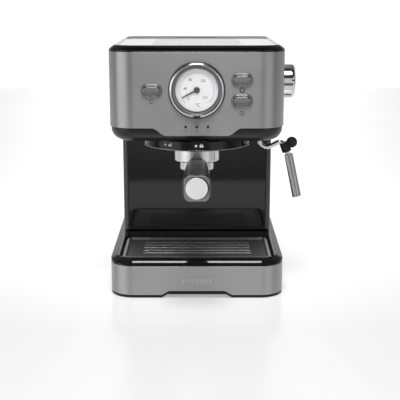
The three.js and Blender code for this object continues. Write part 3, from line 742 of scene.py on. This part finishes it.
def print_ring(x, z, radius, width):
    inner, outer = radius - width / 2, radius + width / 2
    shape = [(inner, SUNK), (outer, SUNK), (outer, INK), (inner, INK)]
    return shifted(face_front(turned(shape, True, 48)), x, 0, z)


def print_bar(x, z, length, width, degrees, front=0.0):
    """A straight stroke whose middle is at (x, z)."""
    turn = Matrix.Rotation(math.radians(degrees), 2)
    corners = [(-length, -width), (length, -width), (length, width), (-length, width)]
    points = [turn @ Vector((u / 2, v / 2)) + Vector((x, z)) for u, v in corners]
    return slab([tuple(point) for point in points], front)


def print_text(text, size, x, z, front):
    """Digits and a unit sign on the dial, as thin solid print."""
    curve = bpy.data.curves.new("digits", "FONT")
    curve.body = text
    curve.size = size
    curve.align_x = "CENTER"
    curve.align_y = "CENTER"
    curve.extrude = INK / 2
    curve.offset = 0.05
    curve.resolution_u = 3
    holder = bpy.data.objects.new("digits", curve)
    bpy.context.scene.collection.objects.link(holder)
    graph = bpy.context.evaluated_depsgraph_get()
    data = bpy.data.meshes.new_from_object(holder.evaluated_get(graph))
    mesh = bmesh.new()
    mesh.from_mesh(data)
    bpy.data.objects.remove(holder)
    bpy.data.meshes.remove(data)
    bmesh.ops.remove_doubles(mesh, verts=mesh.verts, dist=0.001)
    return shifted(face_front(mesh), x, front, z)


def make_panel_marks():
    """Small signs by each button and lamp: a ring for one cup, a thicker ring for two cups, a barred
    ring.
    """
    (one_x, one_z), (two_x, two_z), (steam_x, steam_z) = BUTTONS.values()
    one = print_arc(one_x, one_z - 12.7, 2.2, 0.8, 20, 340)
    two = print_ring(two_x, two_z - 12, 2.6, 1.5)
    steam = print_ring(steam_x, steam_z - 14.6, 2.6, 0.8)
    bar = print_bar(steam_x, steam_z - 14.6, 3.4, 0.8, 90)
    low = LAMP["z"] - 5.2
    ready = print_bar(-LAMP["pitch"], low, 2.4, 0.7, 0)
    brew = print_bar(0, low, 2.8, 0.7, 0)
    mist = print_bar(LAMP["pitch"], low, 2.2, 0.7, 90)
    marks = merged(one, two, steam, bar, ready, brew, mist)
    make("panel_marks", marks, "print_dark", "body")


# ------------------------ thermometer
def on_dial(mesh):
    """Stands a piece drawn face up round the dial's centre."""
    return shifted(face_front(mesh), z=GAUGE_Z)


def make_gauge():
    crest, width, height = 30, 3.4, 4.3
    dome = [(crest + width * math.cos(a), 0.3 + height * math.sin(a)) for a in angles(0, 90, 12)]
    ring = turned([*dome, (crest, 1), (28, 1), (28, 0.3)], True)
    make("bezel_ring", on_dial(ring), "bezel_chrome", "body", ["gauge_bezel"])
    wall = [(crest - 0.02, 1), (crest - 0.02, 4.5), (28.9, 2.2), (25, 1.9), (25, -6), (28, -6), (28, 1)]
    ledge = on_dial(turned(wall, True))
    opening = shifted(on_dial(rod(26.1, -8, 3, TURNED_STEPS)), z=-0.5)
    make("bezel_ledge", ledge, "grey_plate", "body", cuts=[opening])
    # A black ring under the bezel's outer edge: the thin dark line it shows round the bezel is painted
    # shade.
    seat = turned_ring([(31, 0.1), (34, 0.1), (34, 2.4), (33.2, 3), (31, 3)], 0.3)
    make("bezel_seat", on_dial(seat), "satin_black", "body")
    face = [(1.1, -2.4), (25.7, -2.4), (25.7, -1.4), (1.1, -1.4)]
    make("dial_face", on_dial(turned_ring(face, 0.1)), "dial_white", "body", ["gauge_dial"])
    lens = [(25.5, 0.8), (25.5, 1.5), (24.9, 1.75), (14, 1.8), (0.1, 1.8)]
    make("dial_lens", on_dial(turned(eased(lens, 0.3))), "clear_lens", "body", ["gauge_glass"])
    notch = ring_shape([*arc(0, 0, 33.8, 263, 277, 8), *arc(0, 0, 29.6, 276.5, 263.5, 8)], 1, 4.8)
    make("bezel_notch", on_dial(notch), "satin_black", "body")
    make_dial_print()
    make_needle()


def dial_spot(radius, degrees):
    angle = math.radians(degrees)
    return radius * math.cos(angle), GAUGE_Z + radius * math.sin(angle)


def make_dial_print():
    """Scale from 0 to 200 over 270 degrees, its hot end in red."""
    face = 1.4
    first, last = 228, -42
    cool = print_arc(0, GAUGE_Z, 20.3, 1.3, first, 95, face)
    hot = print_arc(0, GAUGE_Z, 20.5, 2.4, 95, last, face)
    edge = print_arc(0, GAUGE_Z, 23.6, 0.35, first, last, face, 96)
    ticks = []
    for i in range(41):
        angle = first + (last - first) * i / 40
        long_tick = i % 8 == 0
        x, z = dial_spot(22.5, angle)
        ticks.append(print_bar(x, z, 2.0 if long_tick else 1.2, 0.5 if long_tick else 0.25, angle, face))
    labels = {"0": (14.6, 228), "40": (13.9, 173), "80": (14.2, 122), "120": (13, 57), "200": (13.6, -41)}
    digits = [print_text(text, 4.3, *dial_spot(*place), face) for text, place in labels.items()]
    unit = print_text("°C", 5.2, 0.9, GAUGE_Z - 17.8, face)
    make("dial_scale", cool, "print_light", "body")
    make("dial_scale_hot", hot, "print_pink", "body")
    make("dial_ticks", merged(edge, *ticks), "print_light", "body")
    make("dial_digits", merged(*digits[:4], unit), "print_dark", "body")
    make("dial_digits_hot", digits[4], "print_red", "body")


def make_needle():
    blade = [(-3, -1.0), (0, -1.1), (19.4, -0.5), (19.8, 0), (19.4, 0.5), (0, 1.1), (-3, 1.0)]
    flat = spun(ring_shape(blade, -0.6, 0), 207, "Z")
    hub = turned(eased([(0.8, -6), (0.8, -1), (3.7, -1), (3.7, 0.1), (2.8, 0.5), (0.1, 0.55)], 0.3))
    both = on_dial(merged(flat, hub))
    make("needle_pointer", both, "needle_black", "needle", ["gauge_needle"])


# ------------------------ buttons
def make_buttons():
    """Silver keys with a slightly crowned face, each in a satin grey bezel."""
    key = [(0, -8), (0, 2.2), (0.5, 2.9), (1.4, 3.2), (3.2, 3.3), (4.6, 3.3)]
    frame_steps = [(1.2, -4), (1.2, 0.3), (0, 0.3), (0, 1.4), (0.9, 2.3), (2, 2.3), (2.35, 1.9)]
    for name, (x, z) in BUTTONS.items():
        cap = shifted(face_front(layered(BUTTON, eased(key, 0.3))), x, 0, z)
        make(f"key_{name}", cap, "silver", f"button_{name}", [f"button_{name}"])
        ring = layered(BUTTON_BEZEL, eased([*frame_steps, (2.35, -4)], 0.3, closed=True), True)
        ring = shifted(face_front(ring), x, 0, z)
        make(f"key_bezel_{name}", ring, "grey_plate", "body", [f"button_bezel_{name}"])


# ------------------------ brew group
def wrapped(mesh, radius):
    """Bends a mark drawn flat, x along the curve, round the upright wall of the group disc."""
    for vert in mesh.verts:
        angle = vert.co.x / radius - math.pi / 2
        reach = radius - vert.co.y
        vert.co.x = reach * math.cos(angle)
        vert.co.y = GROUP_Y + reach * math.sin(angle)
    return mesh


def lock_sign(x, z, open_by):
    """A dot and a small padlock."""
    dot = slab(arc(x, z, 1.5, 0, 360, 24)[:-1])
    left, right, low, high = x + 4.4, x + 9, z - 1.8, z + 0.8
    corners = [(left, low), (right, low), (right, high), (left, high)]
    body = slab(eased(corners, 0.5, closed=True))
    shackle = print_arc(x + 6.7 + open_by, z + 0.8, 1.5, 0.6, 0, 180)
    return merged(dot, body, shackle)


def make_group_disc():
    disc = [(40.9, 185), (63.9, 185), (63.9, 185.4), (67.2, 185.4), (66.6, 195.3)]
    disc += [(64.4, 195.3), (64.4, 189.4), (61.5, 187.2), (40.9, 187.2)]
    ring = [(64.3, 184.3), (65.6, 183.8), (67, 183.8), (67.8, 184.4), (67.8, 185.2), (64.3, 185.2)]
    disc = shifted(turned_ring(disc, 0.4, 160), y=GROUP_Y)
    make("disc_plate", disc, "disc_black", "body", ["group_disc"])
    trim = shifted(turned_ring(ring, 0.2, 160), y=GROUP_Y)
    make("disc_trim", trim, "dark_chrome", "body", ["group_trim_ring"])
    closed = wrapped(lock_sign(-1, 190.6, 0), 66.95)
    make("locked_mark", closed, "print_white", "body")
    opened = wrapped(lock_sign(-math.radians(LOCK_TWIST) * 66.95, 190.6, 1.6), 66.95)
    make("insert_mark", opened, "print_grey", "body")


# ------------------------ steam side
def on_knob(mesh):
    """Turns a piece drawn face up so that it faces right, on the knob's axis."""
    return shifted(spun(mesh, 90, "Y"), 0, KNOB["y"], KNOB["z"])


def make_steam_knob():
    near, far, radius = KNOB["near"], KNOB["far"], KNOB["radius"]
    steps = [(1.2, near), (0.1, near + 0.5), (0, near + 1.4), (0, far - 4.6), (0.25, far - 3.2)]
    steps += [(0.9, far - 1.9), (2.0, far - 0.9), (3.6, far - 0.25), (5.4, far), (9, far - 0.2)]
    knob = turned([(radius - inset, x) for inset, x in steps], segments=160)
    bore = rod(3.4, near - 3, near + 11)
    pointer = box(-3.8, -1.4, -radius - 2, 1 - radius, far - 5, far + 1)
    cuts = [on_knob(bore), on_knob(pointer)]
    make("knob_grip", on_knob(knob), "chrome", "steam_knob", ["steam_knob"], cuts)
    inlay = box(-3.7, -1.5, 0.4 - radius, 1.2 - radius, far - 4.9, far - 1.4)
    make("knob_mark", on_knob(inlay), "print_dark", "steam_knob")


# The middle line of the wand's tube, as (x, z).
WAND_LINE = [
    (79, 200.6), (79, 190), (81.5, 183), (88, 179.3), (95.5, 181.2), (103.7, 185.3),
    (108.6, 184.8), (111.8, 181.8), (115.2, 173.8), (117.58, 168.5), (119.96, 157.34),
    (126.2, 128.06),
]


def between(path, low, high):
    """The stretch of a path between two shares of its length."""
    lengths = [0.0]
    for start, end in zip(path, path[1:]):
        lengths.append(lengths[-1] + (end - start).length)
    total = lengths[-1]
    return [point for point, run in zip(path, lengths) if low * total <= run <= high * total]


def make_steam_wand():
    y = WAND[1]
    path = smooth_path([(x, y, z) for x, z in WAND_LINE])
    make("wand_pipe", swept(path, 2.95), "chrome", "steam_wand", ["wand_tube"])

    grip = turned(eased([(5, 0), (6, 0), (6, 12.3), (5, 12.3)], 0.9), segments=40)
    grip = shifted(aimed(grip, (4.2, 0, -11.6)), 111, y, 185.1)
    profile = [(max(7 * math.sin(a), 0.05), -7 * math.cos(a)) for a in angles(0, 180, 24)]
    ball = turned(profile, segments=48)
    bridge = aimed(rod(4.6, 0, 9), (8.5, 0, 5.5))
    joins = [shifted(ball, 121.1, y, 185.5), shifted(bridge, 113.4, y, 180.6)]
    bore = swept(between(path, 0.36, 0.62), 3.2)
    make("wand_rubber", grip, "rubber", "steam_wand", ["wand_grip"], [bore], joins)

    outer = [(5.3, 0), (5.4, 0.5), (5.7, 56.1), (5.4, 56.5)]
    inner = [(2, 56.5), (2, 45.5), (3.3, 45.5), (3.3, 0)]
    tube = turned_ring(outer + inner, 0.4, 64)
    tube = shifted(aimed(tube, (11.1, 0, -52.1)), 117.2, y, 170.3)
    make("froth_tube", tube, "sheet_steel", "steam_wand", ["froth_sleeve"])

    nut = turned_ring([(3.4, 190.4), (7.2, 190.4), (8, 191.2), (8, 195.2), (3.4, 195.2)], 0.3, 6)
    nut = shifted(nut, *WAND)
    make("wand_collar_nut", nut, "chrome", "body", ["wand_nut"])


# ------------------------ portafilter
def ring_sector(inner, outer, from_degrees, to_degrees, low, high):
    points = arc(0, 0, outer, from_degrees, to_degrees, 12)
    points += arc(0, 0, inner, to_degrees, from_degrees, 12)
    return ring_shape(points, low, high)


def make_portafilter_body():
    cup = [(5, 150), (20.8, 150), (22.5, 151.6), (22.5, 161.4), (28.4, 162), (29.6, 163.4)]
    cup += [(29.6, 194), (26.2, 194), (26.2, 166.8), (5, 166.8)]
    bowl = shifted(turned_ring(cup, 0.7, 128), y=GROUP_Y)
    lugs = [shifted(ring_sector(28, 34.5, a - 15, a + 15, 186.8, 190.8), y=GROUP_Y) for a in (0, 180)]
    arm = shifted(face_front(rod(5.8, 15, 50)), 0, GROUP_Y, 160)
    make("bowl_body", bowl, "satin_chrome", "portafilter", ["portafilter_body"], joins=[*lugs, arm])


def make_basket():
    cup = [(24.6, 168), (25.7, 169), (25.7, 194.3), (29.6, 194.3)]
    cup += [(29.6, 194.9), (25.1, 194.9), (25.1, 168.7)]
    basket = shifted(turned(eased(cup, 0.3), segments=128), y=GROUP_Y)
    make("basket_cup", basket, "sheet_steel", "portafilter", ["filter_basket"])


def make_spout():
    block = layered(plate(16.5, 8, 7), eased([(1.5, 142.5), (0, 144.5), (0, 149.7)], 0.6))
    nozzle = [(4.1, 136), (4.4, 136.3), (5.6, 144.8)]
    nozzles = [shifted(turned(nozzle, segments=48), x) for x in (-10, 10)]
    bores = [shifted(rod(2.8, 130, 146), x) for x in (-10, 10)]
    channel = box(-11, 11, -2, 2, 145, 147)
    inlet = rod(3, 146, 155)
    for mesh in (block, *nozzles, *bores, channel, inlet):
        shifted(mesh, y=GROUP_Y)
    cuts = [*bores, channel, inlet]
    make("spout_body", block, "satin_chrome", "portafilter", ["twin_spout"], cuts, nozzles)


# Sections of the handle: distance along -Y, half width, half height, middle height, corner radius.
HANDLE = [
    (-43.6, 10.2, 7.4, 159.4, 2.0),
    (-42.4, 11.0, 8.2, 159.4, 2.6),
    (-20, 12.6, 10.4, 159.2, 3.6),
    (20, 13.9, 13.0, 158.2, 5.0),
    (60, 15.0, 15.3, 156.6, 6.6),
    (73.6, 15.4, 15.8, 156.1, 7.2),
]
HANDLE_END = {"near": 74.4, "far": 79, "middle": 156}
CAP_RADIUS = 12.6


def handle_ring(y, width, height, middle, radius):
    return outline(plate(width, height, radius, middle), 0, y, steps=14)


def cap_seat():
    """The round recess that the cap sits in, a little wide of it at the top right."""
    far, middle = HANDLE_END["far"], HANDLE_END["middle"]
    play = 0.6
    seat = rod(CAP_RADIUS + 0.8, far - 2.4, far + 3, TURNED_STEPS)
    return face_front(shifted(seat, play, middle + play))


def make_handle():
    rings = [handle_ring(*section) for section in HANDLE]
    bore = shifted(rod(6.1, -50, -23.6), 0, 160)
    grip = face_front(skin(rings))
    make("handle_grip", grip, "satin_black", "portafilter", ["portafilter_handle"], [face_front(bore)])

    near, far, middle = HANDLE_END.values()
    cover = [(0.6, near - 1.6), (0, near), (0, far - 1.4), (0.3, far - 0.6), (1.0, far - 0.4)]
    facing = [(1.2, far - 1), (1.2, far - 0.3), (1.6, far), (2.6, far + 0.1)]
    shape = plate(15.5, 15.9, 7.4, middle)
    pieces = {"handle_end": (cover, "gloss_black"), "handle_face": (facing, "end_alloy")}
    for name, (steps, finish) in pieces.items():
        mesh = face_front(skin([outline(shape, inset, z, steps=14) for inset, z in steps]))
        make(name, mesh, finish, "portafilter", cuts=[cap_seat()])

    dome = [(CAP_RADIUS, -1.4), (CAP_RADIUS, 1.1), (CAP_RADIUS - 0.6, 1.5), (8, 1.6), (0.1, 1.62)]
    cap = shifted(face_front(turned(eased(dome, 0.3))), 0, 0.9 - far, middle)
    make("handle_disc", cap, "cap_white", "portafilter", ["handle_cap"])


# ------------------------ water tank
def make_tank():
    low = BASE_TOP + 0.3
    wall = 2.2
    vessel = [(3, low), (0, low + 3), (0, TANK_TOP)]
    vessel += [(wall, TANK_TOP), (wall, low + 4), (wall + 2, low + 3)]
    outlet = shifted(rod(5.9, 40, 70), y=VALVE_Y)
    tank = layered(TANK, eased(vessel, 0.8))
    make("tank_vessel", tank, "smoked_tank", "water_tank", ["water_tank"], [outlet])

    valve = [(2.5, 44), (5.6, 44), (5.6, low + 3.3), (8, low + 3.3), (8, low + 5.5), (2.5, low + 5.5)]
    valve = shifted(turned_ring(valve, 0.4, 48), y=VALVE_Y)
    make("tank_outlet", valve, "satin_black", "water_tank", ["tank_valve"])

    lines = []
    for i in range(5):
        half = 9 if i % 2 == 0 else 5
        z = 100 + i * 38
        lines.append(box(84 - half, 84, 261.98, 262.1, z - 0.5, z + 0.5))
    make("tank_level_marks", merged(*lines), "print_white", "water_tank")

    lid_low, lid_top, round_edge = TANK_TOP + 0.3, HEAD_TOP - 0.5, 5
    under = [(3.5, lid_top - 3), (3.5, lid_low), (0, lid_low)]
    crown = [(round_edge - x, lid_top - round_edge + z) for x, z in arc(0, 0, round_edge, 0, 90, 8)]
    dip = [(2, lid_top - 1.6), (0.6, lid_top - 1.2), (0, lid_top + 2)]
    grip = layered(plate(30, 6, 6, TANK.front + 14), dip)
    make("lid_shell", layered(TANK, [*under, *crown]), "satin_black", "tank_lid", ["tank_lid"], [grip])


# ------------------------ inner pieces
def finish_cad_nodes():
    """The pieces inside keep their CAD shape and get the finish of their material slot."""
    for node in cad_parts.values():
        for holder in node.material_slots:
            holder.material = LOOKS[holder.material.name.split(".")[0]]


# ------------------------ studio
def make_floor():
    points = [(-1500, -450), (1500, -450), (1500, 2600), (-1500, 2600)]
    floor = link("floor", ring_shape(points, -10, 0))
    # The floor glows: painted light, weaker towards the front and stronger towards the back.
    lit = {"IOR": 1.8, "Emission_Color": (1, 1, 1, 1)}
    finish = Finish("floor", (0.9, 0.9, 0.9), roughness=0.2, **lit)
    spot = finish.node("SeparateXYZ")
    finish.join(finish.place, spot.inputs["Vector"])
    glow = finish.ranged(spot.outputs["Y"], 0.27, 0.52, span=(-0.2, 0.15))
    finish.join(glow, finish.shader.inputs["Emission Strength"])
    finish.rough(finish.noise(3, 2), 0.17, 0.22)
    floor.data.materials.append(finish.material)


def ramp(tree, value, stops):
    """A smooth curve through (position, level) stops."""
    node = tree.nodes.new("ShaderNodeValToRGB")
    elements = node.color_ramp.elements
    for i, (position, level) in enumerate(stops):
        element = elements[i] if i < 2 else elements.new(position)
        element.position = position
        element.color = (level, level, level, 1)
    tree.links.new(value, node.inputs["Fac"])
    return node.outputs["Color"]


def calculated(tree, operation, *values):
    node = tree.nodes.new("ShaderNodeMath")
    node.operation = operation
    for socket, value in zip(node.inputs, values):
        if isinstance(value, (int, float)):
            socket.default_value = value
        else:
            tree.links.new(value, socket)
    return node.outputs["Value"]


# Studio brightness round the machine, as (share of a full turn starting behind it, level).
AROUND = [
    (0.0, 0.44), (1.0, 0.44), (0.018, 0.42), (0.035, 0.22), (0.13, 0.24), (0.2, 0.26),
    (0.222, 0.12), (0.24, 0.12), (0.265, 0.65), (0.32, 0.95), (0.39, 0.82), (0.415, 0.26),
    (0.455, 0.18), (0.5, 0.44), (0.54, 0.22), (0.565, 0.26), (0.59, 0.56), (0.655, 0.58),
    (0.685, 0.22), (0.71, 0.1), (0.74, 0.16), (0.80, 0.22), (0.965, 0.22), (0.982, 0.42),
]
# The same up and down, as (0 = straight down, 1 = straight up): in front, and behind.
UP_FRONT = [(0.0, 0.15), (1.0, 0.04), (0.40, 0.24), (0.44, 1.0), (0.67, 1.0), (0.72, 0.06)]
UP_BACK = [(0.0, 1.0), (1.0, 0.03), (0.63, 1.0), (0.69, 0.3), (0.985, 0.45)]
ROOM_LEVEL = 2.4  # brightness of the room where both curves are at 1
BACKDROP_LEVEL = 1.05  # brightness of the backdrop that the camera sees


def make_world():
    """A white backdrop, a dimmer room in front, darker gaps at the sides."""
    world = bpy.data.worlds.new("studio")
    bpy.context.scene.world = world
    world.use_nodes = True
    tree = world.node_tree
    background = tree.nodes["Background"]
    direction = tree.nodes.new("ShaderNodeTexCoord").outputs["Generated"]
    parts = tree.nodes.new("ShaderNodeSeparateXYZ")
    tree.links.new(direction, parts.inputs["Vector"])
    x, y, z = parts.outputs
    turn = calculated(tree, "ARCTAN2", x, calculated(tree, "MULTIPLY", y, -1.0))
    share = calculated(tree, "MULTIPLY_ADD", turn, 0.5 / math.pi, 0.5)
    height = calculated(tree, "MULTIPLY_ADD", z, 0.5, 0.5)
    around = ramp(tree, share, AROUND)
    front = ramp(tree, height, UP_FRONT)
    back = ramp(tree, height, UP_BACK)
    behind = calculated(tree, "MULTIPLY_ADD", y, 2.0, 0.3)
    behind = calculated(tree, "MINIMUM", calculated(tree, "MAXIMUM", behind, 0.0), 1.0)
    away = calculated(tree, "SUBTRACT", 1.0, behind)
    front = calculated(tree, "MULTIPLY", front, away)
    back = calculated(tree, "MULTIPLY", back, behind)
    room = calculated(tree, "MULTIPLY", around, calculated(tree, "ADD", front, back))
    room = calculated(tree, "MULTIPLY", room, ROOM_LEVEL)
    camera_ray = tree.nodes.new("ShaderNodeLightPath").outputs["Is Camera Ray"]
    seen = tree.nodes.new("ShaderNodeMix")
    seen.inputs["B"].default_value = BACKDROP_LEVEL
    tree.links.new(camera_ray, seen.inputs["Factor"])
    tree.links.new(room, seen.inputs["A"])
    tree.links.new(seen.outputs["Result"], background.inputs["Strength"])
    background.inputs["Color"].default_value = (1, 1, 1, 1)


# The key light: metres, degrees above the level, and watts per square metre and steradian.
KEY = {"width": 0.58, "height": 0.5, "distance": 1.3, "elevation": 61, "radiance": 15.5}
KEY_TARGET = (0, 60, 263)


def make_key_light():
    """A rectangular soft light above and in front of the machine, aimed at its head."""
    light = bpy.data.lights.new("key_front", "AREA")
    light.shape = "RECTANGLE"
    light.size = KEY["width"]
    light.size_y = KEY["height"]
    light.energy = KEY["radiance"] * math.pi * KEY["width"] * KEY["height"]
    lamp = bpy.data.objects.new("key_front", light)
    bpy.context.scene.collection.objects.link(lamp)
    tilt = math.radians(KEY["elevation"])
    away = Vector((0, -math.cos(tilt), math.sin(tilt)))
    lamp.location = TO_ROW @ Vector(KEY_TARGET) + away * KEY["distance"]
    lamp.rotation_mode = "QUATERNION"
    lamp.rotation_quaternion = away.to_track_quat("Z", "Y")


CAMERA = {"place": (2.3, -1105, 372.4), "dip": 12.6, "lens": 83.7, "shift": 0.00325}


def make_camera():
    data = bpy.data.cameras.new("camera")
    data.sensor_width = 36
    data.lens = CAMERA["lens"]
    data.shift_x = CAMERA["shift"]
    data.clip_start = 0.05
    camera = bpy.data.objects.new("camera", data)
    camera.location = TO_ROW @ Vector(CAMERA["place"])
    camera.rotation_euler = (math.radians(90 - CAMERA["dip"]), 0, 0)
    bpy.context.scene.collection.objects.link(camera)
    bpy.context.scene.camera = camera


# ------------------------ the machine
make_camera()
make_world()
make_key_light()
make_floor()
make_feet()
make_base()
make_cord_gland()
make_drip_tray()
make_column()
make_head_band()
make_head_top()
make_lower_cover()
make_lamps()
make_panel_marks()
make_gauge()
make_buttons()
make_group_disc()
make_steam_knob()
make_steam_wand()
make_portafilter_body()
make_basket()
make_spout()
make_handle()
make_tank()
finish_cad_nodes()

bpy.context.scene.view_settings.view_transform = "Standard"
